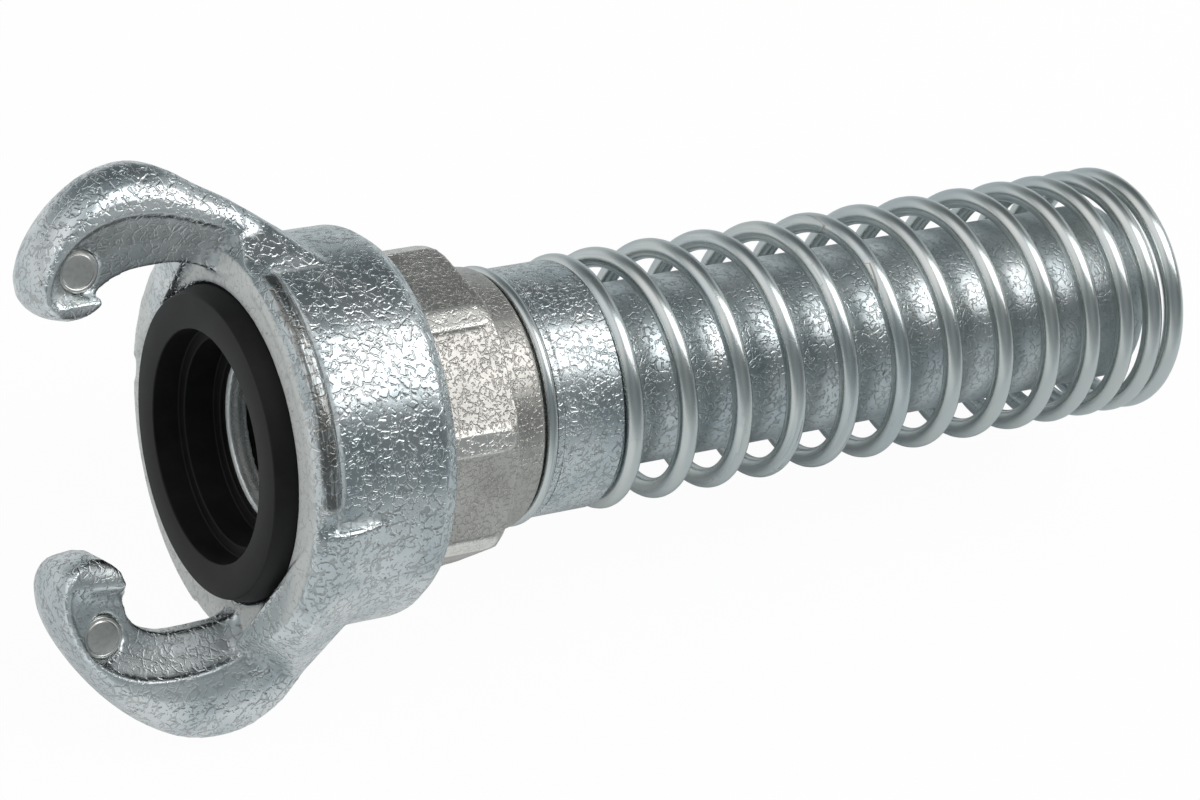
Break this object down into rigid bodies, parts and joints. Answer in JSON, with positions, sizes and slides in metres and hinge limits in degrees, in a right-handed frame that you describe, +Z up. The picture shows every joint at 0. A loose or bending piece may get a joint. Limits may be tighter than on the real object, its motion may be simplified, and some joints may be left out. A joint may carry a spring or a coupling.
{
  "type": "claw hose coupling with swivelling tail and bend-guard spring",
  "caption": "Compressed-air claw coupling: cast head with hooked claws, rubber face seal, eight-sided union nut, and a swivelling hose tail inside a coiled bend guard.",
  "frame": {"origin": "centre of the seal's sealing face", "axes": "+X along the bore from the sealing face towards the hose; +Z up as the coupling lies; the claws' plane is rolled 46 degrees about X from horizontal"},
  "size_m": [0.154, 0.0512, 0.0522],
  "materials": {
    "cast_zinc": "zinc-plated casting with a crinkled skin",
    "nut_metal": "warm grey plated casting with a crinkled skin",
    "seal_rubber": "matt black rubber",
    "pin_steel": "smooth riveted steel",
    "tube_zinc": "zinc-plated steel with fine pits",
    "spring_wire": "drawn zinc-plated wire",
    "washer_brass": "plain brass"
  },
  "bodies": {
    "head": {"claw_head": "cast_zinc", "seal_ring": "seal_rubber", "upper_claw_pin": "pin_steel", "lower_claw_pin": "pin_steel", "tail_gasket": "seal_rubber", "thrust_washer": "washer_brass", "union_nut": "nut_metal"},
    "tail": {"hose_tail": "tube_zinc", "neck_o_ring": "seal_rubber", "retaining_ring": "spring_wire", "spring_ferrule": "tube_zinc", "guard_spring": "spring_wire"}
  },
  "joints": [
    {"name": "tail_swivel", "type": "hinge", "parent": "head", "child": "tail", "pos_m": [0.03, 0, 0], "axis": [1, 0, 0], "continuous": true}
  ]
}
